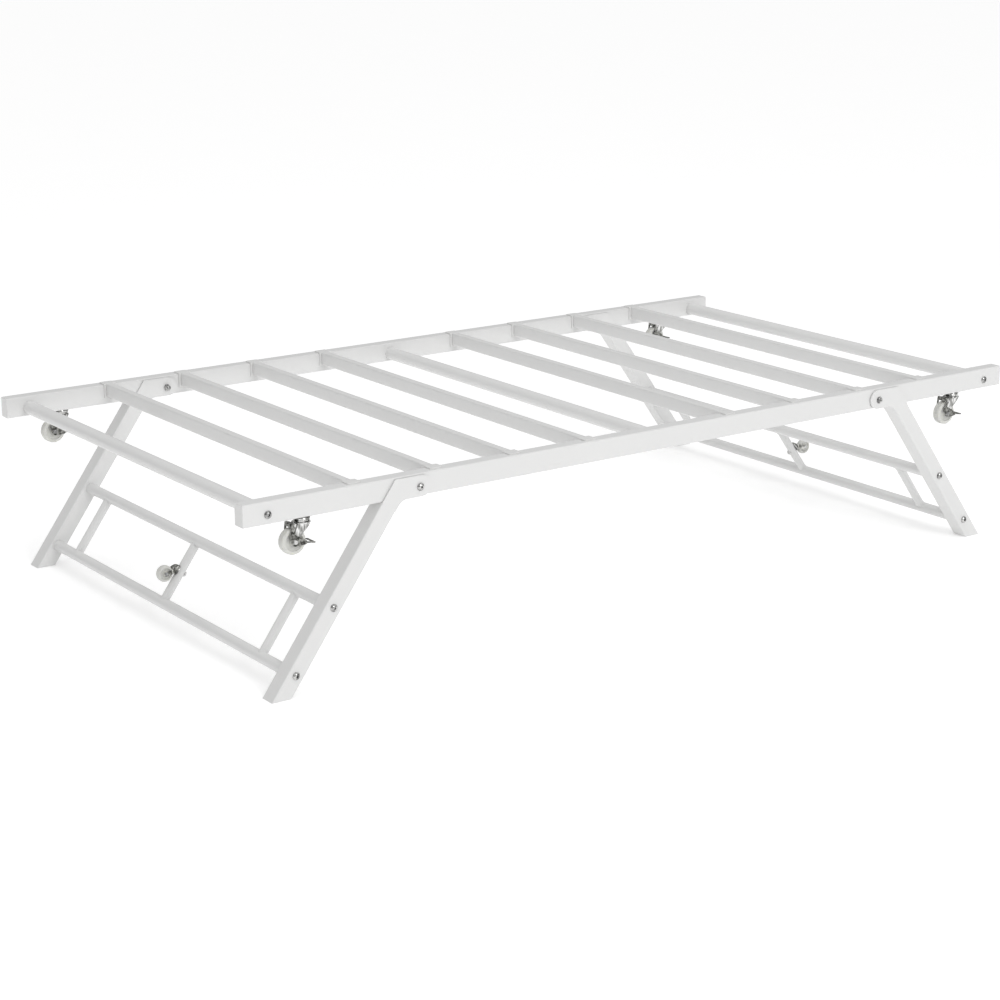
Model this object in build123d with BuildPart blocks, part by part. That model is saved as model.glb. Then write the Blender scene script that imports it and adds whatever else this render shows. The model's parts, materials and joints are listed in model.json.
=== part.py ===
"""Pop-up trundle bed frame, legs swung out to its raised height.

Frame: +X along the bed, +Y from the front rail to the back rail, +Z up.
The origin is on the floor, below the middle of the deck. All sizes are in millimetres.
Left is -X, right is +X, front is -Y, back is +Y.
"""

from build123d import *
from dataclasses import dataclass
import os
from math import cos, radians, sin, tan

os.makedirs("parts", exist_ok=True)

# Deck
bed_length = 1855.0  # end to end of the side rails
bed_width = 1004.0  # over the outer faces of the side rails
deck_height = 368.0  # floor to the top of the rails
rail_height = 41.0
rail_width = 28.0
rail_corner = 2.0
tube_wall = 1.5
bolt_line = 17.0  # height of pivots and end tubes above the underside of the rails

# Cross members
slat_pitch = 174.3
end_tube_x = 878.0
round_tube_diameter = 28.0
spigot_diameter = 16.0
spigot_length = 4.0
slat_width = 16.5
slat_height = 29.0
slat_corner = 4.0
slat_wall = 1.2
slat_end_gap = 0.6  # between the end of a slat and its hook plate
slat_numbers = (-4, -3, -2, -1, 1, 2, 3, 4)  # places either side of the middle tube

# Slat hooks
hook_plate_width = 26.0
hook_plate_height = 31.0  # down from the top of the tab
hook_plate_thickness = 3.0
hook_tab_width = 28.0
hook_tab_reach = 20.0
hook_tab_thickness = 2.6
hook_tongue_depth = 18.0
hook_pin_diameter = 5.0
fit_gap = 0.2

# Leg frames
pivot_x = 566.5
leg_lean = radians(36.0)  # from the vertical, feet outboard
leg_width = 33.0  # across the leg, seen from the side
leg_wall = 1.8
leg_corner = 2.5
fold_gap = 4.8  # between the folded leg and the underside of the rail
foot_plate = 2.5
stop_gap = 0.1  # between the top of the leg and the rail it bears on
cheek_thickness = 3.0
cheek_gap = 1.0  # between each cheek and the rail
cheek_above = 21.0  # top edge above the pivot
cheek_below = 18.0  # bottom edge below the pivot
cheek_nose = 4.0  # centre of the rounded nose, inboard of the pivot
cheek_overlap = 14.0  # how far the cheeks run down the leg
cheek_root_radius = 25.0
crossbar_diameter = 22.2
crossbar_wall = 1.5
lower_bar_along = 51.0  # distances up the leg from the floor
upper_bar_along = 188.0
strut_diameter = 17.5
strut_wall = 1.2
strut_spacing = 381.0

# Furniture bolts
bolt_diameter = 8.0
bolt_hole = 8.5
bolt_head_diameter = 14.5
bolt_head_height = 4.4
hex_socket = 5.0
hex_depth = 2.4
insert_depth = 22.0
thread_clearance = 0.1
pivot_hole = 8.12
pivot_slack = 0.2  # between the cheeks and the heads and nuts of the pivot bolts
nut_flats = 12.5
nut_height = 6.0
stem_nut_flats = 10.0
stem_nut_height = 3.0


@dataclass
class CasterSize:
    """Sizes of a swivel caster. The height is from the face it is fixed to, to the bottom of the wheel."""

    height: float
    wheel: float
    width: float
    trail: float
    stem: float
    stem_length: float
    race: float
    race_height: float
    kingpin: float
    sheet: float
    boss: float
    axle: float

    @property
    def axle_drop(self):
        return self.height - self.wheel / 2

    @property
    def fork_top(self):
        return self.race_height + swivel_gap

    @property
    def fork_half(self):
        return self.width / 2 + wheel_gap + self.sheet


# Casters
caster_x = {-1: 804.0, 1: 795.0}  # stems of the corner casters, from the middle of the bed
swivel_gap = 0.3
running_gap = 0.06  # radial, on the kingpins and axles
wheel_gap = 0.8  # between the wheel and each fork leg
rivet_height = 2.2
brake_gap = 0.3  # between the brake lever and the fork
brake_sheet = 1.5
brake_tail = 41.0  # reach of the tail from the axle
brake_tail_drop = 6.0
brake_plate_reach = 20.0  # of the broad part of the side plates, from the axle
brake_pad_width = 17.0
corner_caster = CasterSize(
    height=67.0,
    wheel=48.5,
    width=17.0,
    trail=20.0,
    stem=11.0,
    stem_length=28.0,
    race=32.0,
    race_height=8.0,
    kingpin=8.0,
    sheet=1.8,
    boss=13.0,
    axle=6.0,
)

# Derived places
rail_bottom = deck_height - rail_height
slat_top = deck_height + hook_tab_thickness
rail_mid_y = bed_width / 2 - rail_width / 2
rail_inner_y = bed_width / 2 - rail_width
pivot_z = rail_bottom + bolt_line
leg_offset = bolt_line + leg_width / 2 + fold_gap  # pivot to leg centreline
leg_depth = rail_width + 2 * (cheek_gap + cheek_thickness)
leg_outer_y = bed_width / 2 + cheek_gap + cheek_thickness
leg_inner_y = leg_outer_y - leg_depth
pivot_along = pivot_z / cos(leg_lean) + leg_offset * tan(leg_lean)
foot_x = pivot_x + leg_offset * cos(leg_lean) + pivot_along * sin(leg_lean)
strut_mid_along = (lower_bar_along + upper_bar_along) / 2
fold_drop = leg_offset - bolt_line  # folded strut centreline below the rail
leg_caster = CasterSize(
    height=corner_caster.height - fold_drop - strut_diameter / 2,
    wheel=32.5,
    width=13.0,
    trail=17.5,
    stem=6.0,
    stem_length=strut_diameter + 5.0,
    race=22.0,
    race_height=3.6,
    kingpin=6.0,
    sheet=1.5,
    boss=10.0,
    axle=5.0,
)

ends = {"left": -1, "right": 1}
sides = {"front": -1, "back": 1}


def on_leg(end, along, out=0.0):
    """X and Z of a point up the leg's centreline from the floor, and out from it to the outboard side."""
    x = foot_x - along * sin(leg_lean) + out * cos(leg_lean)
    z = along * cos(leg_lean) + out * sin(leg_lean)
    return end * x, z


def leg_edge(end, height, out):
    """X and Z where a line parallel to the leg, at a distance out from its centreline, passes a height."""
    along = (height - out * sin(leg_lean)) / cos(leg_lean)
    return on_leg(end, along, out)


def upright(y):
    """A plane facing the front, at a place across the bed, with X and Z as its directions."""
    return Plane.XZ.offset(-y)


def save(piece, name):
    piece.part.label = name
    export_step(piece.part, f"parts/{name}.step")


# ---------------------------------------------------------------- deck


def side_rail(side, name):
    """Rectangular tube with welded end plates, drilled for bolts, hooks and caster stems."""
    y = side * rail_mid_y
    inner_wall_y = side * rail_inner_y
    with BuildPart() as rail:
        with BuildSketch(Plane.YZ.offset(-bed_length / 2)):
            with Locations((y, rail_bottom + rail_height / 2)):
                RectangleRounded(rail_width, rail_height, rail_corner)
        extrude(amount=bed_length)
        ends_of_rail = rail.faces().filter_by(Axis.X)
        chamfer(ends_of_rail.edges(), 0.6)
        with BuildSketch(Plane.YZ.offset(-bed_length / 2 + tube_wall)):
            with Locations((y, rail_bottom + rail_height / 2)):
                Rectangle(rail_width - 2 * tube_wall, rail_height - 2 * tube_wall)
        extrude(amount=bed_length - 2 * tube_wall, mode=Mode.SUBTRACT)
        with BuildSketch(upright(y + rail_width / 2)):
            with Locations((-end_tube_x, pivot_z), (end_tube_x, pivot_z)):
                Circle(bolt_hole / 2)
            with Locations((-pivot_x, pivot_z), (pivot_x, pivot_z)):
                Circle(pivot_hole / 2)
        extrude(amount=rail_width, mode=Mode.SUBTRACT)
        with BuildSketch(upright(inner_wall_y)):
            with Locations((0, pivot_z)):
                Circle(spigot_diameter / 2 + fit_gap)
        extrude(amount=2 * tube_wall, both=True, mode=Mode.SUBTRACT)
        with BuildSketch(Plane.XY.offset(deck_height)):
            with Locations([(n * slat_pitch, y) for n in slat_numbers]):
                Circle(hook_pin_diameter / 2 + fit_gap)
        extrude(amount=-2 * tube_wall, mode=Mode.SUBTRACT)
        with BuildSketch(Plane.XY.offset(rail_bottom)):
            with Locations([(end * caster_x[end], y) for end in ends.values()]):
                Circle(corner_caster.stem / 2 + fit_gap)
        extrude(amount=2 * tube_wall, mode=Mode.SUBTRACT)
    save(rail, name)


def end_tube(end, name):
    """Round tube between the rails, with a threaded insert at each end."""
    half = rail_inner_y
    with BuildPart() as tube:
        with BuildSketch(upright(half)):
            with Locations((end * end_tube_x, pivot_z)):
                Circle(round_tube_diameter / 2)
        extrude(amount=2 * half)
        with BuildSketch(upright(half - insert_depth)):
            with Locations((end * end_tube_x, pivot_z)):
                Circle(round_tube_diameter / 2 - tube_wall)
        extrude(amount=2 * (half - insert_depth), mode=Mode.SUBTRACT)
        with BuildSketch(upright(half)):
            with Locations((end * end_tube_x, pivot_z)):
                Circle(bolt_diameter / 2 + thread_clearance)
        extrude(amount=2 * half, mode=Mode.SUBTRACT)
    save(tube, name)


def middle_tube(name):
    """Round tube with spigots that seat in the inner walls of the rails."""
    half = rail_inner_y
    with BuildPart() as tube:
        with BuildSketch(upright(half)):
            with Locations((0, pivot_z)):
                Circle(round_tube_diameter / 2)
        extrude(amount=2 * half)
        with BuildSketch(upright(half + spigot_length)):
            with Locations((0, pivot_z)):
                Circle(spigot_diameter / 2)
        extrude(amount=2 * (half + spigot_length))
        with BuildSketch(upright(half - insert_depth)):
            with Locations((0, pivot_z)):
                Circle(round_tube_diameter / 2 - tube_wall)
        extrude(amount=2 * (half - insert_depth), mode=Mode.SUBTRACT)
        with BuildSketch(upright(half + spigot_length)):
            with Locations((0, pivot_z)):
                Circle(bolt_diameter / 2)
        extrude(amount=2 * (half + spigot_length), mode=Mode.SUBTRACT)
    save(tube, name)


def slat(place, name):
    """Rectangular tube with well rounded corners, held at each end by a hook."""
    half = rail_inner_y - hook_plate_thickness - slat_end_gap
    centre = (place * slat_pitch, slat_top - slat_height / 2)
    with BuildPart() as tube:
        with BuildSketch(upright(half)):
            with Locations(centre):
                RectangleRounded(slat_width, slat_height, slat_corner)
                RectangleRounded(
                    slat_width - 2 * slat_wall,
                    slat_height - 2 * slat_wall,
                    slat_corner - slat_wall,
                    mode=Mode.SUBTRACT,
                )
        extrude(amount=2 * half)
    save(tube, name)


def slat_hooks(side, name):
    """End hooks of the slats on one rail: a plate on the rail's inner face, a tab over its top,
    a pin in the rail and a tongue in the slat."""
    wall_y = side * rail_inner_y
    plate_mid_y = side * (rail_inner_y - hook_plate_thickness / 2)
    tab_length = hook_plate_thickness + hook_tab_reach
    tab_mid_y = side * (rail_inner_y - hook_plate_thickness + tab_length / 2)
    tongue_mid_y = side * (rail_inner_y - hook_plate_thickness - hook_tongue_depth / 2)
    plate_z = slat_top - hook_plate_height / 2
    tab_z = deck_height + hook_tab_thickness / 2
    pin_depth = 2 * tube_wall
    with BuildPart() as hooks:
        for place in slat_numbers:
            x = place * slat_pitch
            with Locations((x, plate_mid_y, plate_z)):
                Box(hook_plate_width, hook_plate_thickness, hook_plate_height)
            with Locations((x, tab_mid_y, tab_z)):
                Box(hook_tab_width, tab_length, hook_tab_thickness)
            with Locations((x, tongue_mid_y, slat_top - slat_height / 2)):
                Box(
                    slat_width - 2 * slat_wall - 2 * fit_gap,
                    hook_tongue_depth,
                    slat_height - 2 * slat_corner,
                )
            with Locations((x, side * rail_mid_y, deck_height - pin_depth / 2)):
                Cylinder(hook_pin_diameter / 2, pin_depth)
        rims = hooks.edges().filter_by(Axis.Z).group_by(Axis.Y)
        outer_corners = rims[0] if side < 0 else rims[-1]
        fillet(outer_corners, 4.0)
        upper_edges = hooks.faces().filter_by(Axis.Z).group_by(Axis.Z)[-1].edges()
        fillet(upper_edges, 0.6)
    save(hooks, name)


# ---------------------------------------------------------------- leg frames


def leg(end, side, name):
    """Leg tube cut to the floor and to the rail it bears on, with a cheek plate each side of the rail."""
    back_y = max(side * leg_outer_y, side * leg_inner_y)
    half = leg_width / 2
    top_z = rail_bottom - stop_gap
    inner_half = half - leg_wall
    cheek_top = pivot_z + cheek_above
    cheek_bottom = pivot_z - cheek_below
    nose_radius = (cheek_above + cheek_below) / 2
    nose_x = end * (pivot_x - cheek_nose)
    nose_mid_z = (cheek_top + cheek_bottom) / 2
    lap_along = rail_bottom / cos(leg_lean) - cheek_overlap
    root = leg_edge(end, cheek_bottom, -half)
    bar_places = [on_leg(end, along) for along in (lower_bar_along, upper_bar_along)]
    with BuildPart() as frame_leg:
        with BuildSketch(upright(back_y)):
            with BuildLine():
                Polyline(
                    leg_edge(end, 0, -half),
                    leg_edge(end, 0, half),
                    leg_edge(end, top_z, half),
                    leg_edge(end, top_z, -half),
                    close=True,
                )
            make_face()
        extrude(amount=leg_depth)
        long_axis = Axis((0, 0, 0), (-end * sin(leg_lean), 0, cos(leg_lean)))
        fillet(frame_leg.edges().filter_by(long_axis), leg_corner)
        with BuildSketch(upright(back_y - leg_wall)):
            with BuildLine():
                Polyline(
                    leg_edge(end, foot_plate, -inner_half),
                    leg_edge(end, foot_plate, inner_half),
                    leg_edge(end, top_z - foot_plate, inner_half),
                    leg_edge(end, top_z - foot_plate, -inner_half),
                    close=True,
                )
            make_face()
        extrude(amount=leg_depth - 2 * leg_wall, mode=Mode.SUBTRACT)
        cheek_planes = [upright(back_y), upright(back_y - leg_depth + cheek_thickness)]
        with BuildSketch(*cheek_planes) as cheek:
            with BuildLine():
                Polyline(
                    (nose_x, cheek_bottom),
                    root,
                    on_leg(end, lap_along, -half),
                    on_leg(end, lap_along, half),
                    leg_edge(end, cheek_top, half),
                    (nose_x, cheek_top),
                )
                ThreePointArc(
                    (nose_x, cheek_top),
                    (nose_x - end * nose_radius, nose_mid_z),
                    (nose_x, cheek_bottom),
                )
            make_face()
            fillet(cheek.vertices().sort_by_distance((*root, 0))[0], cheek_root_radius)
        extrude(amount=cheek_thickness)
        with BuildSketch(upright(back_y)):
            with Locations((end * pivot_x, pivot_z)):
                Circle(pivot_hole / 2)
            with Locations(bar_places):
                Circle(bolt_hole / 2)
        extrude(amount=leg_depth, mode=Mode.SUBTRACT)
    save(frame_leg, name)


def crossbar(end, along, name):
    """Round bar between the inner faces of two legs, with a threaded insert at each end."""
    place = on_leg(end, along)
    with BuildPart() as bar:
        with BuildSketch(upright(leg_inner_y)):
            with Locations(place):
                Circle(crossbar_diameter / 2)
        extrude(amount=2 * leg_inner_y)
        with BuildSketch(upright(leg_inner_y - insert_depth)):
            with Locations(place):
                Circle(crossbar_diameter / 2 - crossbar_wall)
        extrude(amount=2 * (leg_inner_y - insert_depth), mode=Mode.SUBTRACT)
        with BuildSketch(upright(leg_inner_y)):
            with Locations(place):
                Circle(bolt_diameter / 2 + thread_clearance)
        extrude(amount=2 * leg_inner_y, mode=Mode.SUBTRACT)
    save(bar, name)


def struts(end, name):
    """Three short round tubes between the crossbars, their ends coped to them.
    The middle one is drilled for the leg caster's stem."""
    x, z = on_leg(end, lower_bar_along)
    stem_x, stem_z = on_leg(end, strut_mid_along)
    up_leg = (-end * sin(leg_lean), 0, cos(leg_lean))
    outward = (end * cos(leg_lean), 0, sin(leg_lean))
    with BuildPart() as tubes:
        with BuildSketch(Plane(origin=(x, 0, z), x_dir=(0, 1, 0), z_dir=up_leg)):
            with Locations((-strut_spacing, 0), (0, 0), (strut_spacing, 0)):
                Circle(strut_diameter / 2)
                Circle(strut_diameter / 2 - strut_wall, mode=Mode.SUBTRACT)
        extrude(amount=upper_bar_along - lower_bar_along)
        with BuildSketch(Plane.XZ):
            with Locations(on_leg(end, lower_bar_along), on_leg(end, upper_bar_along)):
                Circle(crossbar_diameter / 2)
        extrude(amount=bed_width / 2, both=True, mode=Mode.SUBTRACT)
        with BuildSketch(Plane(origin=(stem_x, 0, stem_z), x_dir=(0, 1, 0), z_dir=outward)):
            Circle(leg_caster.stem / 2 + fit_gap)
        extrude(amount=strut_diameter, both=True, mode=Mode.SUBTRACT)
    save(tubes, name)


# ---------------------------------------------------------------- fasteners


def button_bolt(x, z, side, seat_y, length):
    """Button-head bolt with a hex socket, pointing inwards from a face of the bed."""
    seat = Plane(origin=(x, side * seat_y, z), x_dir=(1, 0, 0), z_dir=(0, side, 0))
    head_radius = bolt_head_diameter / 2
    crown_radius = 0.5 * head_radius
    with BuildPart() as bolt:
        with BuildSketch(seat):
            Circle(bolt_diameter / 2)
        extrude(amount=-length)
        with BuildSketch(Plane(origin=seat.origin, x_dir=seat.z_dir, z_dir=seat.x_dir)):
            with BuildLine():
                Polyline((0, 0), (0, head_radius), (0.9, head_radius))
                ThreePointArc(
                    (0.9, head_radius),
                    (0.72 * bolt_head_height, 0.8 * head_radius),
                    (bolt_head_height, crown_radius),
                )
                Polyline((bolt_head_height, crown_radius), (bolt_head_height, 0), (0, 0))
            make_face()
        revolve(axis=Axis(seat.origin, seat.z_dir))
        with BuildSketch(seat.offset(bolt_head_height)):
            RegularPolygon(hex_socket / 2, 6, major_radius=False)
        extrude(amount=-hex_depth, mode=Mode.SUBTRACT)
    return bolt.part


def dome_nut(seat):
    """Hexagon nut with a domed end, standing on a seat plane."""
    dome_radius = nut_flats / 2 - 0.6
    top = nut_height + dome_radius
    with BuildPart() as nut:
        with BuildSketch(seat):
            RegularPolygon(nut_flats / 2, 6, major_radius=False)
        extrude(amount=nut_height - 1)
        with BuildSketch(Plane(origin=seat.origin, x_dir=seat.z_dir, z_dir=seat.x_dir)):
            with BuildLine():
                Polyline((0, 0), (0, dome_radius), (nut_height, dome_radius))
                ThreePointArc(
                    (nut_height, dome_radius),
                    (nut_height + dome_radius * sin(radians(45)), dome_radius * cos(radians(45))),
                    (top, 0),
                )
                Line((top, 0), (0, 0))
            make_face()
        revolve(axis=Axis(seat.origin, seat.z_dir))
        with BuildSketch(seat):
            Circle(bolt_diameter / 2 + thread_clearance)
        extrude(amount=nut_height + 0.5, mode=Mode.SUBTRACT)
    return nut.part


def save_group(pieces, name):
    """Writes identical fasteners as one group of separate solids."""
    with BuildPart() as group:
        add(pieces)
    save(group, name)


def end_tube_bolts(name):
    length = rail_width + insert_depth - 2
    corners = [(end, side) for end in ends.values() for side in sides.values()]
    bolts = [button_bolt(end * end_tube_x, pivot_z, side, bed_width / 2, length) for end, side in corners]
    save_group(bolts, name)


def pivot_bolts(name):
    length = leg_depth + 2 * pivot_slack + nut_height
    seat_y = leg_outer_y + pivot_slack
    corners = [(end, side) for end in ends.values() for side in sides.values()]
    save_group([button_bolt(end * pivot_x, pivot_z, side, seat_y, length) for end, side in corners], name)


def pivot_nuts(name):
    nuts = []
    for end in ends.values():
        for side in sides.values():
            origin = (end * pivot_x, side * (leg_inner_y - pivot_slack), pivot_z)
            nuts.append(dome_nut(Plane(origin=origin, x_dir=(1, 0, 0), z_dir=(0, -side, 0))))
    save_group(nuts, name)


def leg_bolts(end, name):
    """Bolts that hold two crossbars to two legs."""
    length = leg_depth + insert_depth - 2
    bolts = []
    for along in (lower_bar_along, upper_bar_along):
        x, z = on_leg(end, along)
        bolts += [button_bolt(x, z, side, leg_outer_y, length) for side in sides.values()]
    save_group(bolts, name)


def stem_nut(end, name):
    """Dome nut on the stem of a leg caster, on the inboard side of the middle strut."""
    x, z = on_leg(end, strut_mid_along, -strut_diameter / 2)
    inward = (-end * cos(leg_lean), 0, -sin(leg_lean))
    stem_hole = leg_caster.stem / 2 + thread_clearance
    with BuildPart() as nut:
        with BuildSketch(Plane(origin=(x, 0, z), x_dir=(0, 1, 0), z_dir=inward)):
            RegularPolygon(stem_nut_flats / 2, 6, major_radius=False)
            Circle(stem_hole, mode=Mode.SUBTRACT)
        extrude(amount=stem_nut_height)
    save(nut, name)


# ---------------------------------------------------------------- casters


def corner_seat(end, side):
    """Plane through a corner caster: origin at its stem, X towards the trailing wheel, Y away from the rail."""
    origin = (end * caster_x[end], side * rail_mid_y, rail_bottom)
    return Plane(origin=origin, x_dir=(-1, 0, 0), z_dir=(0, -1, 0))


def leg_seat(end):
    """The same plane for a leg caster, on the outboard side of the middle strut, trailing down the leg."""
    x, z = on_leg(end, strut_mid_along, strut_diameter / 2)
    down_leg = (end * sin(leg_lean), 0, -cos(leg_lean))
    return Plane(origin=(x, 0, z), x_dir=down_leg, z_dir=(0, -end, 0))


def across(seat, point):
    """Plane through the axle or kingpin axis at a point of the seat plane, for profiles turned about Y."""
    return Plane(origin=seat.from_local_coords(point), x_dir=seat.z_dir, z_dir=seat.x_dir)


def caster_mount(size, seat, name):
    """Stem, swivel race and riveted kingpin."""
    race_radius = size.race / 2
    rivet_top = size.fork_top + size.sheet + swivel_gap
    rivet_radius = size.kingpin / 2 + 2.0
    with BuildPart() as mount:
        with BuildSketch(seat):
            with BuildLine():
                Polyline(
                    (0, -size.stem_length),
                    (size.stem / 2 - 1, -size.stem_length),
                    (size.stem / 2, -size.stem_length + 1),
                    (size.stem / 2, 0),
                    (race_radius - 2, 0),
                    (race_radius, 0.3 * size.race_height),
                    (race_radius, 0.6 * size.race_height),
                    (race_radius - 2.5, size.race_height),
                    (size.kingpin / 2, size.race_height),
                    (size.kingpin / 2, rivet_top),
                    (rivet_radius, rivet_top),
                    (rivet_radius - 1, rivet_top + rivet_height),
                    (0, rivet_top + rivet_height),
                    close=True,
                )
            make_face()
        revolve(axis=Axis(seat.origin, seat.y_dir))
    save(mount, name)


def caster_fork(size, seat, name):
    """Folded sheet fork: a round crown under the race and two legs that taper to the axle."""
    crown_radius = size.race / 2 - 1.0
    top = size.fork_top
    crown = Plane(origin=seat.from_local_coords((0, top)), x_dir=seat.x_dir, z_dir=seat.y_dir)
    with BuildPart() as fork:
        with BuildSketch(seat):
            with Locations((size.trail, size.axle_drop)):
                Circle(size.boss / 2)
            with Locations((0, top + size.sheet / 2)):
                Rectangle(1.8 * crown_radius, size.sheet)
            make_hull()
        extrude(amount=size.fork_half, both=True)
        with BuildSketch(seat):
            with Locations((size.trail / 2, top + size.sheet + size.height / 2)):
                Rectangle(2 * size.height, size.height)
        extrude(amount=size.fork_half - size.sheet, both=True, mode=Mode.SUBTRACT)
        with BuildSketch(crown):
            Circle(crown_radius)
        extrude(amount=size.sheet)
        with BuildSketch(crown):
            Circle(size.kingpin / 2 + running_gap)
        extrude(amount=size.sheet, mode=Mode.SUBTRACT)
        with BuildSketch(seat):
            with Locations((size.trail, size.axle_drop)):
                Circle(size.axle / 2)
        extrude(amount=size.fork_half, both=True, mode=Mode.SUBTRACT)
    save(fork, name)


def caster_wheel(size, seat, name):
    """Moulded wheel: a stepped rim, recessed sides and a hub."""
    axle_plane = across(seat, (size.trail, size.axle_drop))
    radius = size.wheel / 2
    half = size.width / 2
    hub_radius = size.axle / 2 + 3.0
    rim_inner = 0.72 * radius
    step_radius = 0.9 * radius
    with BuildPart() as wheel:
        with BuildSketch(axle_plane):
            with BuildLine():
                Polyline(
                    (half, size.axle / 2 + running_gap),
                    (half, hub_radius),
                    (half - 2.5, hub_radius + 0.5),
                    (half - 2.5, rim_inner - 0.5),
                    (half, rim_inner),
                    (half, step_radius),
                    (half - 1, radius - 0.6),
                    (half - 2.2, radius),
                    (2.2 - half, radius),
                    (1 - half, radius - 0.6),
                    (-half, step_radius),
                    (-half, rim_inner),
                    (2.5 - half, rim_inner - 0.5),
                    (2.5 - half, hub_radius + 0.5),
                    (-half, hub_radius),
                    (-half, size.axle / 2 + running_gap),
                    close=True,
                )
            make_face()
        revolve(axis=Axis(axle_plane.origin, axle_plane.x_dir))
    save(wheel, name)


def caster_axle(size, seat, name, seat_half):
    """Axle with a rivet head at each end. The heads seat at a distance from the middle of the wheel."""
    axle_plane = across(seat, (size.trail, size.axle_drop))
    head_radius = size.axle / 2 + 1.8
    with BuildPart() as axle:
        with BuildSketch(axle_plane):
            with BuildLine():
                Polyline(
                    (-seat_half - 1.5, 0),
                    (-seat_half - 1.5, head_radius - 1),
                    (-seat_half, head_radius),
                    (-seat_half, size.axle / 2),
                    (seat_half, size.axle / 2),
                    (seat_half, head_radius),
                    (seat_half + 1.5, head_radius - 1),
                    (seat_half + 1.5, 0),
                    close=True,
                )
            make_face()
        revolve(axis=Axis(axle_plane.origin, axle_plane.x_dir))
    save(axle, name)


def brake_lever(size, seat, name):
    """Rocking brake lever on the ends of the axle: a side plate outside each fork leg, joined by a strip
    that carries the pad above the wheel, and by a cross piece at the tips of the tails."""
    axle = (size.trail, size.axle_drop)
    inner = size.fork_half + brake_gap
    outer = inner + brake_sheet
    pad_bottom = size.axle_drop - size.wheel / 2 - 2.5
    pad_u = size.trail + 3.5
    pad_height = 7.0
    pad_length = 9.0
    strip = 2.4
    arm_width = 4.0
    tail_tip = (size.trail - brake_tail + 2, size.axle_drop + brake_tail_drop)
    plate_tip = (size.trail - brake_plate_reach, size.axle_drop + brake_tail_drop / 2)
    tip_length = 4.0
    shoulder = (size.trail + size.boss / 2, size.axle_drop - size.boss)
    with BuildPart() as lever:
        with BuildSketch(seat):
            with Locations((pad_u + 1, pad_bottom - pad_height + strip), shoulder):
                Circle(arm_width / 2)
            make_hull()
        extrude(amount=outer, both=True)
        with BuildSketch(seat):
            with Locations(axle):
                Circle(size.boss / 2 + 1)
            with Locations(shoulder, plate_tip):
                Circle(arm_width)
            make_hull()
        extrude(amount=outer, both=True)
        with BuildSketch(seat):
            with Locations(plate_tip, tail_tip):
                Circle(strip / 2)
            make_hull()
        extrude(amount=outer, both=True)
        with BuildSketch(seat):
            Rectangle(4 * size.height, 4 * size.height)
        extrude(amount=inner, both=True, mode=Mode.SUBTRACT)
        with BuildSketch(seat):
            with Locations((pad_u, pad_bottom - pad_height / 2)):
                RectangleRounded(pad_length, pad_height, 1.5)
        extrude(amount=brake_pad_width / 2, both=True)
        with BuildSketch(seat):
            with Locations((pad_u, pad_bottom - pad_height + strip / 2)):
                RectangleRounded(0.6 * pad_length, strip, 1.0)
            with Locations((tail_tip[0] + tip_length / 2 - strip / 2, tail_tip[1])):
                RectangleRounded(tip_length, strip, 1.0)
        extrude(amount=outer, both=True)
        with BuildSketch(seat):
            with Locations(axle):
                Circle(size.axle / 2 + running_gap)
        extrude(amount=outer, both=True, mode=Mode.SUBTRACT)
    save(lever, name)


# ---------------------------------------------------------------- the bed

for side_name, side in sides.items():
    side_rail(side, f"{side_name}_rail")
    slat_hooks(side, f"{side_name}_slat_hooks")

middle_tube("middle_tube")
for number, place in enumerate(slat_numbers, start=1):
    slat(place, f"slat_{number}")
end_tube_bolts("end_tube_bolts")
pivot_bolts("pivot_bolts")
pivot_nuts("pivot_nuts")

for end_name, end in ends.items():
    end_tube(end, f"{end_name}_end_tube")
    crossbar(end, lower_bar_along, f"{end_name}_lower_crossbar")
    crossbar(end, upper_bar_along, f"{end_name}_upper_crossbar")
    struts(end, f"{end_name}_struts")
    leg_bolts(end, f"{end_name}_leg_bolts")
    stem_nut(end, f"{end_name}_stem_nut")
    caster_mount(leg_caster, leg_seat(end), f"{end_name}_leg_caster_mount")
    caster_fork(leg_caster, leg_seat(end), f"{end_name}_leg_caster_fork")
    caster_wheel(leg_caster, leg_seat(end), f"{end_name}_leg_caster_wheel")
    caster_axle(leg_caster, leg_seat(end), f"{end_name}_leg_caster_axle", leg_caster.fork_half)
    for side_name, side in sides.items():
        corner = f"{end_name}_{side_name}"
        seat = corner_seat(end, side)
        leg(end, side, f"{corner}_leg")
        caster_mount(corner_caster, seat, f"{corner}_caster_mount")
        caster_fork(corner_caster, seat, f"{corner}_caster_fork")
        caster_wheel(corner_caster, seat, f"{corner}_caster_wheel")
        head_seat = corner_caster.fork_half + 2 * brake_gap + brake_sheet
        caster_axle(corner_caster, seat, f"{corner}_caster_axle", head_seat)
        brake_lever(corner_caster, seat, f"{corner}_caster_brake")
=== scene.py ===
"""Looks of the pop-up trundle bed frame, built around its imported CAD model. Metres, +Z up."""

import json
import math

import bmesh
import bpy
from mathutils import Matrix, Vector


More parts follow.
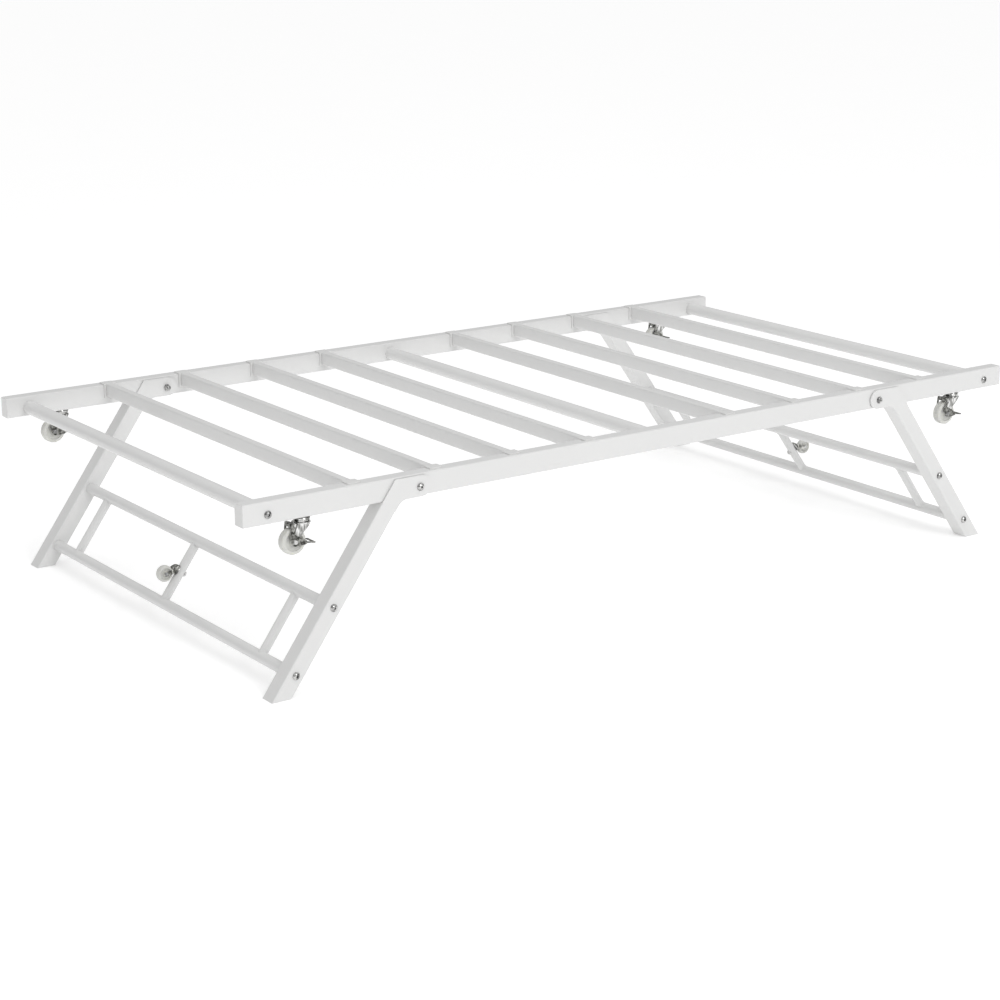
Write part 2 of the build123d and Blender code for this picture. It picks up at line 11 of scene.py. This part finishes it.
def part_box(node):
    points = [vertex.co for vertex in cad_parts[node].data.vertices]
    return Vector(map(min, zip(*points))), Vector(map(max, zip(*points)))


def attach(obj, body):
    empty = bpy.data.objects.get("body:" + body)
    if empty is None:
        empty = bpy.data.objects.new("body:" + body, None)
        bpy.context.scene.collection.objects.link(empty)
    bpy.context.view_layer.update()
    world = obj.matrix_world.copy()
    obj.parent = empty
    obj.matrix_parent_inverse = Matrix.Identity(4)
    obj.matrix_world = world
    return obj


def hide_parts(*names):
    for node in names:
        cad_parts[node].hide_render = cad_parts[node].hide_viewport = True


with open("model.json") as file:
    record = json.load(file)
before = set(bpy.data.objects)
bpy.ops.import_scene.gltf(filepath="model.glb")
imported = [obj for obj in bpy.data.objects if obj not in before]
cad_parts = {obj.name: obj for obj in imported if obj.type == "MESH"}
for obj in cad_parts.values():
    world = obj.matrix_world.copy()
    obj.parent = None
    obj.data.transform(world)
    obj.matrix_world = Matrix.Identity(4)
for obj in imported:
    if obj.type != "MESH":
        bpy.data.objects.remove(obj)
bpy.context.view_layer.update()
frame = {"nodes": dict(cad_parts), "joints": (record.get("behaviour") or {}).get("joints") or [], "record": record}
nodes = frame["nodes"]
joints = {joint["name"]: joint for joint in frame["joints"]}

# Camera
camera_place = Vector((-2.7653, -3.8634, 1.4567))
camera_turn = math.radians(35.254)  # from +Y towards +X
camera_tilt = math.radians(15.842)  # below the horizon
camera_roll = math.radians(-0.239)
camera_lens = 83.66
camera_sensor = 36.0
camera_reach = 200.0

# Studio
floor_size = 120.0
floor_glow = 0.21
horizon_strength = 0.2
zenith_strength = 1.1
key_place = (0.0, -6.3, 4.0)
key_target = (0, 0, 0.2)
key_size = 3.0
key_power = 142.0

# Casters. Radii, and heights measured from the seat towards the wheel.
corner_size = {
    "race": 0.016,
    "race_height": 0.008,
    "kingpin": 0.004,
    "stem": 0.0055,
    "stem_length": 0.028,
    "fork_top": 0.0083,
    "fork_half": 0.0111,  # half the width over both sides
    "sheet": 0.0018,
    "crown": 0.015,
    "dish": 0.0016,  # how far the crown's rim hangs past its sheet
    "boss": 0.0065,
    "axle": 0.003,
    "wheel": 0.02425,
    "wheel_half": 0.0085,  # half the width
}
leg_size = {
    "race": 0.011,
    "race_height": 0.0036,
    "kingpin": 0.003,
    "stem": 0.003,
    "stem_length": 0.0225,
    "fork_top": 0.0039,
    "fork_half": 0.0088,
    "sheet": 0.0015,
    "crown": 0.010,
    "dish": 0.0002,
    "boss": 0.005,
    "axle": 0.0025,
    "wheel": 0.01625,
    "wheel_half": 0.0065,
}
race_steps = 56
wheel_steps = 72

# Welds of the struts
strut_radius = 0.00875
bead_radius = 0.0013
bead_ripple = 0.00022
weld_steps = 60
weld_sides = 8


# ---------------------------------------------------------------- materials


def new_material(name):
    """A new material, and its shader."""
    material = bpy.data.materials.new(name)
    material.use_nodes = True
    shader = material.node_tree.nodes["Principled BSDF"]
    return material, shader


def add_node(material, kind, **settings):
    """A node whose settings are values of its inputs or, for other names, of its own properties."""
    node = material.node_tree.nodes.new(kind)
    for key, value in settings.items():
        if key in node.inputs:
            node.inputs[key].default_value = value
        else:
            setattr(node, key, value)
    return node


def link(material, source, target):
    material.node_tree.links.new(source, target)


def object_coordinates(material):
    return add_node(material, "ShaderNodeTexCoord").outputs["Object"]


def noise(material, scale, detail=2.0, stretch=(1, 1, 1)):
    """Noise of about so many grains a metre, in the object's own coordinates."""
    mapping = add_node(material, "ShaderNodeMapping", Scale=stretch)
    link(material, object_coordinates(material), mapping.inputs["Vector"])
    texture = add_node(material, "ShaderNodeTexNoise", Scale=scale, Detail=detail)
    link(material, mapping.outputs["Vector"], texture.inputs["Vector"])
    return texture.outputs["Fac"]


def spread(material, factor, low, high, start=0.3, end=0.7):
    """Maps a factor to a range of numbers."""
    limits = {"From Min": start, "From Max": end, "To Min": low, "To Max": high}
    node = add_node(material, "ShaderNodeMapRange", **limits)
    link(material, factor, node.inputs["Value"])
    return node.outputs["Result"]


def blend_colours(material, factor, first, second):
    """Goes from the first colour to the second as the factor goes from 0 to 1."""
    node = add_node(material, "ShaderNodeMix", data_type="RGBA")
    sockets = {socket.identifier: socket for socket in node.inputs}
    sockets["A_Color"].default_value = (*first, 1)
    sockets["B_Color"].default_value = (*second, 1)
    link(material, factor, sockets["Factor_Float"])
    return node.outputs["Result"]


def bump(material, shader, height, distance, strength):
    node = add_node(material, "ShaderNodeBump", Strength=strength, Distance=distance)
    link(material, height, node.inputs["Height"])
    link(material, node.outputs["Normal"], shader.inputs["Normal"])


def powder_coat(name, colour, shade):
    """White powder coat: fine orange peel, slightly uneven gloss, a faint clouding of the colour."""
    material, shader = new_material(name)
    clouds = noise(material, scale=9.0, detail=3.0)
    link(material, blend_colours(material, clouds, shade, colour), shader.inputs["Base Color"])
    gloss = spread(material, noise(material, scale=140.0), low=0.34, high=0.46)
    link(material, gloss, shader.inputs["Roughness"])
    orange_peel = noise(material, scale=520.0, detail=1.0)
    bump(material, shader, orange_peel, distance=0.0004, strength=0.22)
    shader.inputs["Coat Weight"].default_value = 0.25
    shader.inputs["Coat Roughness"].default_value = 0.18
    return material


def chrome(name, colour, shade, roughness):
    """Plated steel: painted reflections, bands of light and dark colour standing in for the reflections in its
    folds, with faint haze and rolling marks.
    """
    material, shader = new_material(name)
    shader.inputs["Metallic"].default_value = 1.0
    # Painted reflections: the colour runs from the shade to the colour in bands that stand in for reflections.
    reflection_flow = noise(material, scale=160.0, detail=3.0, stretch=(1, 1, 0.4))
    painted_reflections = spread(material, reflection_flow, low=0, high=1, start=0.42, end=0.6)
    link(material, blend_colours(material, painted_reflections, shade, colour), shader.inputs["Base Color"])
    haze = noise(material, scale=260.0, detail=4.0)
    dullness = spread(material, haze, low=roughness, high=roughness * 2.2)
    link(material, dullness, shader.inputs["Roughness"])
    marks = noise(material, scale=700.0, detail=2.0, stretch=(1, 1, 0.15))
    bump(material, shader, marks, distance=0.0002, strength=0.12)
    return material


def milky_nylon(name):
    """Natural nylon: milky, slightly yellow, lets light through its thin parts."""
    material, shader = new_material(name)
    clouds = noise(material, scale=120.0, detail=3.0)
    colour = blend_colours(material, clouds, first=(0.58, 0.58, 0.55), second=(0.67, 0.67, 0.64))
    link(material, colour, shader.inputs["Base Color"])
    link(material, spread(material, clouds, low=0.26, high=0.38), shader.inputs["Roughness"])
    shader.inputs["Subsurface Weight"].default_value = 0.3
    shader.inputs["Subsurface Radius"].default_value = (0.006, 0.006, 0.005)
    shader.inputs["Subsurface Scale"].default_value = 1.0
    bump(material, shader, noise(material, scale=900.0), distance=0.0002, strength=0.1)
    return material


def dark_plate(name):
    """Dark plated steel of the brake levers, lighter in spots where highlights are painted into its colour."""
    material, shader = new_material(name)
    shader.inputs["Metallic"].default_value = 0.6
    # Painted highlights: lighter spots in the colour stand in for highlights on the dark metal.
    highlight_spots = noise(material, scale=190.0, detail=3.0)
    painted_highlights = spread(material, highlight_spots, low=0, high=1, start=0.4, end=0.62)
    colour = blend_colours(material, painted_highlights, first=(0.035, 0.035, 0.03), second=(0.34, 0.34, 0.32))
    link(material, colour, shader.inputs["Base Color"])
    link(material, spread(material, painted_highlights, low=0.3, high=0.5), shader.inputs["Roughness"])
    bump(material, shader, noise(material, scale=800.0), distance=0.0002, strength=0.15)
    return material


# Each with its colour and, after it, a second colour: the shade that clouds the coats, or the dark of the painted
# reflections on the plated metals.
looks = {
    "frame_white": powder_coat("powder_white", (0.733, 0.733, 0.728), (0.708, 0.708, 0.703)),
    "hook_white": powder_coat("hook_paint", (0.735, 0.735, 0.725), (0.705, 0.705, 0.70)),
    "caster_chrome": chrome(
        "caster_plate", (0.78, 0.78, 0.77), (0.24, 0.24, 0.23), roughness=0.10
    ),
    "bolt_zinc": chrome("zinc_plate", (0.58, 0.58, 0.57), (0.20, 0.20, 0.20), roughness=0.14),
    "wheel_nylon": milky_nylon("milky_nylon"),
    "brake_black": dark_plate("brake_plate"),
}
# Painted shade: a darker copy of the caster chrome, used for the forks and crowns of the leg casters.
shaded_leg_chrome = chrome("shaded_leg_caster_chrome", (0.60, 0.60, 0.57), (0.10, 0.10, 0.09), roughness=0.12)
slot_of = {entry["node"]: entry["material_slot"] for entry in frame["record"]["subparts"]}
for name, piece in nodes.items():
    piece.data.materials.clear()
    dull = name.endswith("_caster_axle")
    piece.data.materials.append(looks["bolt_zinc" if dull else slot_of[name]])


# ---------------------------------------------------------------- pieces


def skin(mesh, rows, around=True, along=False):
    """Faces between rows of points. Around closes each row, along joins the last row to the first."""
    rings = [[mesh.verts.new(point) for point in row] for row in rows]
    count = len(rows[0])
    for i in range(len(rows) if along else len(rows) - 1):
        ring, beyond = rings[i], rings[(i + 1) % len(rows)]
        for j in range(count if around else count - 1):
            k = (j + 1) % count
            mesh.faces.new((ring[j], ring[k], beyond[k], beyond[j]))


def lathe(mesh, place, outline, steps=race_steps, closed=False):
    """Turns an outline of (radius, height) about the Z axis of a place."""
    angles = [2 * math.pi * k / steps for k in range(steps)]
    rows = [
        [place @ Vector((radius * math.cos(a), radius * math.sin(a), height)) for a in angles]
        for radius, height in outline
    ]
    skin(mesh, rows, along=closed)


def add_piece(name, mesh, body, slot, replaced=(), crease=35.0, look=None):
    """Makes a mesh an object that rides a body. Edges sharper than the crease, in degrees, stay."""
    bmesh.ops.remove_doubles(mesh, verts=mesh.verts, dist=1e-6)
    bmesh.ops.recalc_face_normals(mesh, faces=mesh.faces)
    data = bpy.data.meshes.new(name)
    mesh.to_mesh(data)
    mesh.free()
    data.materials.append(look or looks[slot])
    data.shade_smooth()
    data.set_sharp_from_angle(angle=math.radians(crease))
    piece = bpy.data.objects.new(name, data)
    bpy.context.scene.collection.objects.link(piece)
    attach(piece, body)
    if replaced:
        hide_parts(*replaced)
    return piece


def caster_place(name):
    """Axes of a caster, its trail and its axle's drop. X is along the trail, Z away from the seat."""
    swivel = joints[f"{name}_swivel"]
    seat = Vector(swivel["pos_m"])
    away = -Vector(swivel["axis"])
    reach = Vector(joints[f"{name}_roll"]["pos_m"]) - seat
    drop = reach.dot(away)
    sideways = reach - drop * away
    trail = sideways.length
    along = sideways / trail
    place = Matrix((along, away.cross(along), away)).transposed().to_4x4()
    place.translation = seat
    return place, trail, drop


def swivel_race(name, body, size):
    """Stem, washer, ball race of two pressed rings, and the riveted end of the kingpin."""
    place = caster_place(name)[0]
    race, height, pin = size["race"], size["race_height"], size["kingpin"]
    stem, depth = size["stem"], size["stem_length"]
    chamfer, neck, bulge, inset = 0.001, 0.0022, 0.0012, 0.0002
    rivet_gap, rivet_lip, rivet_height, rivet_dimple = 0.0003, 0.0018, 0.0018, 0.0006
    rivet = size["fork_top"] + size["sheet"] + rivet_gap
    outline = [(0, -depth), (stem - chamfer, -depth), (stem, -depth + chamfer), (stem, 0)]
    outline += [(0.78 * race, 0), (0.8 * race, 0.12 * height), (race - neck, 0.16 * height)]
    outline += [
        (race - bulge * (1 - math.cos(t)) - inset, height * (0.36 + 0.2 * math.sin(t)))
        for t in [math.pi * (k / 8 - 0.5) for k in range(9)]
    ]
    outline += [(race - neck, 0.6 * height), (race - bulge, 0.7 * height)]
    outline += [(race - 0.0014, 0.9 * height), (race - 0.003, height)]
    outline += [(pin, height), (pin, rivet), (pin + rivet_lip, rivet), (pin + 0.0014, rivet + 0.001)]
    outline += [(pin, rivet + rivet_height), (0.5 * pin, rivet + 0.0014)]
    outline += [(0.4 * pin, rivet + rivet_dimple), (0, rivet + rivet_dimple)]
    mesh = bmesh.new()
    lathe(mesh, place, outline)
    add_piece(f"{name}_race", mesh, body, "caster_chrome", [f"{name}_mount"])


def stamped_fork(name, size, look):
    """Sheet fork: a dished crown, and a strip folded down each side, narrowing to the axle."""
    place, trail, drop = caster_place(name)
    sheet, crown, boss = size["sheet"], size["crown"], size["boss"]
    half = size["fork_half"] - sheet / 2
    top = size["fork_top"] + sheet / 2
    bend, tip_steps, side_steps, bend_steps, across = 0.0022, 5, 14, 5, 4
    side = [(half, drop + 0.95 * boss * (1 - k / tip_steps)) for k in range(tip_steps)]
    side += [(half, drop + (top + bend - drop) * k / side_steps) for k in range(side_steps + 1)]
    arc = [math.pi / 2 * k / bend_steps for k in range(1, bend_steps + 1)]
    side += [(half - bend + bend * math.cos(a), top + bend - bend * math.sin(a)) for a in arc]
    path = [(-w, v) for w, v in side] + [(w, v) for w, v in reversed(side)]
    rows = []
    for w, v in path:
        level = min(max((v - top) / (drop - top), 0), 1)
        ease = 0.45 * level + 0.55 * level * level * (3 - 2 * level)
        middle = trail * ease
        reach = 0.9 * crown * (1 - ease) + boss * ease
        if v > drop:
            reach = math.sqrt(boss * boss - (v - drop) ** 2)
        steps = range(2 * across + 1)
        rows.append([place @ Vector((middle + reach * (k / across - 1), w, v)) for k in steps])
    mesh = bmesh.new()
    skin(mesh, rows, around=False)
    replaced = [f"{name}_fork"]
    fork = add_piece(
        f"{name}_fork_sheet", mesh, name, "caster_chrome", replaced, crease=60.0, look=look
    )
    thickness = fork.modifiers.new("thickness", "SOLIDIFY")
    thickness.thickness = sheet
    thickness.offset = 0
    edge = fork.modifiers.new("edges", "BEVEL")
    edge.width = 0.0003
    edge.segments = 2
    pin_gap, shoulder, rim = 0.0001, 0.0016, 0.0012
    pin, start = size["kingpin"] + pin_gap, size["fork_top"]
    end = start + sheet
    rim_end = end + size["dish"]
    outline = [(pin, start), (crown - shoulder, start), (crown - 0.0004, start + 0.0005)]
    outline += [(crown, start + shoulder), (crown, rim_end), (crown - rim, rim_end)]
    outline += [(crown - 0.0014, end), (pin, end)]
    mesh = bmesh.new()
    lathe(mesh, place, outline, closed=True)
    add_piece(f"{name}_crown", mesh, name, "caster_chrome", look=look)


def moulded_wheel(name, size):
    """Nylon wheel: crowned tread, stepped and rounded rim, recessed webs and a hub proud of them."""
    place, trail, drop = caster_place(name)
    radius, half = size["wheel"], size["wheel_half"]
    axle_gap, hub_wall, web, step, draft = 0.00006, 0.003, 0.0026, 0.0006, 0.001
    bore, hub = size["axle"] + axle_gap, size["axle"] + hub_wall
    side = [(bore, half), (hub, half), (hub + step, half - step), (hub + draft, half - web)]
    side += [(0.7 * radius - draft, half - web), (0.7 * radius, half - web + step)]
    side += [(0.72 * radius, half), (0.86 * radius, half)]
    side += [(0.885 * radius, half - step), (0.9 * radius, half - step)]
    tread, tread_inset, round_depth = 0.1 * radius, 0.0002, 0.0028
    side += [
        (
            0.9 * radius + tread * math.sin(a) - tread_inset,
            half - step - round_depth + round_depth * math.cos(a),
        )
        for a in [math.pi / 2 * k / 6 for k in range(1, 7)]
    ]
    side += [(radius, 0.3 * half)]
    outline = side + [(r, -h) for r, h in reversed(side)]
    turned = place @ Matrix.Translation((trail, 0, drop)) @ Matrix.Rotation(math.pi / 2, 4, "X")
    mesh = bmesh.new()
    lathe(mesh, turned, outline, steps=wheel_steps, closed=True)
    add_piece(f"{name}_tyre", mesh, f"{name}_roller", "wheel_nylon", [f"{name}_wheel"])


def weld_ring(mesh, centre, up, outward, bar, strut):
    """A weld bead round the joint of a strut with a crossbar, following their saddle."""
    rows = []
    turns = [2 * math.pi * t / weld_sides for t in range(weld_sides)]
    for k in range(weld_steps):
        angle = 2 * math.pi * k / weld_steps
        radial = Vector((0, math.cos(angle), 0)) + outward * math.sin(angle)
        lift = math.sqrt(bar**2 - (strut * math.sin(angle)) ** 2)
        bead = bead_radius + bead_ripple * math.sin(17 * angle) * math.cos(5 * angle)
        spine = centre + radial * strut + up * lift
        rows.append(
            [spine + radial * (bead * math.cos(t)) + up * (bead * math.sin(t)) for t in turns]
        )
    skin(mesh, rows, along=True)


def strut_welds(end):
    """Beads round both ends of the three struts of a leg frame."""
    boxes = [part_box(f"{end}_{level}_crossbar") for level in ("lower", "upper")]
    low, high = ((Vector(box[0]) + Vector(box[1])) / 2 for box in boxes)
    bar = (boxes[0][1][0] - boxes[0][0][0]) / 2
    up = (high - low).normalized()
    outward = Vector((0, 1, 0)).cross(up)
    outer_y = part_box(f"{end}_struts")[1][1] - strut_radius
    mesh = bmesh.new()
    for y in (-outer_y, 0, outer_y):
        shift = Vector((0, y, 0))
        weld_ring(mesh, low + shift, up, outward, bar, strut_radius)
        weld_ring(mesh, high + shift, -up, outward, bar, strut_radius)
    add_piece(f"{end}_strut_welds", mesh, f"{end}_legs", "frame_white", crease=180.0)


casters = {
    f"{end}_{side}_caster": ("bed_frame", corner_size, looks["caster_chrome"])
    for end in ("left", "right")
    for side in ("front", "back")
}
casters |= {f"{end}_leg_caster": (f"{end}_legs", leg_size, shaded_leg_chrome) for end in ("left", "right")}
for caster, (fixed_to, size, look) in casters.items():
    swivel_race(caster, fixed_to, size)
    stamped_fork(caster, size, look)
    moulded_wheel(caster, size)
for end in ("left", "right"):
    strut_welds(end)


# ---------------------------------------------------------------- studio


def studio_floor():
    """Plain pale paper, wide enough to reach the horizon, with a faint glow of its own."""
    material, shader = new_material("floor_paper")
    clouds = noise(material, scale=3.0)
    paper = blend_colours(material, clouds, (0.955, 0.955, 0.955), (0.965, 0.965, 0.965))
    link(material, paper, shader.inputs["Base Color"])
    shader.inputs["Roughness"].default_value = 0.9
    shader.inputs["Specular IOR Level"].default_value = 0.1
    shader.inputs["Emission Color"].default_value = (1, 1, 1, 1)
    shader.inputs["Emission Strength"].default_value = floor_glow
    mesh = bpy.data.meshes.new("floor")
    half = floor_size / 2
    corners = [(-half, -half, 0), (half, -half, 0), (half, half, 0), (-half, half, 0)]
    mesh.from_pydata(corners, [], [(0, 1, 2, 3)])
    mesh.materials.append(material)
    floor = bpy.data.objects.new("studio_floor", mesh)
    bpy.context.scene.collection.objects.link(floor)


def studio_world():
    """A soft tent, bright overhead and darker at the horizon. The camera itself sees it as white."""
    world = bpy.data.worlds.new("studio")
    world.use_nodes = True
    tree = world.node_tree
    coordinates = tree.nodes.new("ShaderNodeTexCoord")
    split = tree.nodes.new("ShaderNodeSeparateXYZ")
    tent = tree.nodes.new("ShaderNodeMapRange")
    tent.inputs["To Min"].default_value = horizon_strength
    tent.inputs["To Max"].default_value = zenith_strength
    background = tree.nodes["Background"]
    background.inputs["Color"].default_value = (1, 1, 1, 1)
    rays = tree.nodes.new("ShaderNodeLightPath")
    seen = tree.nodes.new("ShaderNodeMath")
    seen.operation = "MAXIMUM"
    tree.links.new(coordinates.outputs["Generated"], split.inputs["Vector"])
    tree.links.new(split.outputs["Z"], tent.inputs["Value"])
    tree.links.new(tent.outputs["Result"], seen.inputs[0])
    tree.links.new(rays.outputs["Is Camera Ray"], seen.inputs[1])
    tree.links.new(seen.outputs["Value"], background.inputs["Strength"])
    bpy.context.scene.world = world


def area_light(name, place, target, size, power):
    light = bpy.data.lights.new(name, "AREA")
    light.shape = "SQUARE"
    light.size = size
    light.energy = power
    lamp = bpy.data.objects.new(name, light)
    lamp.location = place
    lamp.rotation_euler = (Vector(target) - Vector(place)).to_track_quat("-Z", "Y").to_euler()
    bpy.context.scene.collection.objects.link(lamp)


def studio_camera():
    data = bpy.data.cameras.new("camera")
    data.lens = camera_lens
    data.sensor_width = camera_sensor
    data.clip_end = camera_reach
    camera = bpy.data.objects.new("camera", data)
    camera.location = camera_place
    aim = Matrix.Rotation(-camera_turn, 3, "Z") @ Matrix.Rotation(math.pi / 2 - camera_tilt, 3, "X")
    camera.rotation_euler = (aim @ Matrix.Rotation(camera_roll, 3, "Z")).to_euler()
    bpy.context.scene.collection.objects.link(camera)
    bpy.context.scene.camera = camera


studio_floor()
studio_world()
area_light("key_light", key_place, key_target, key_size, key_power)
studio_camera()
bpy.context.scene.view_settings.view_transform = "Standard"
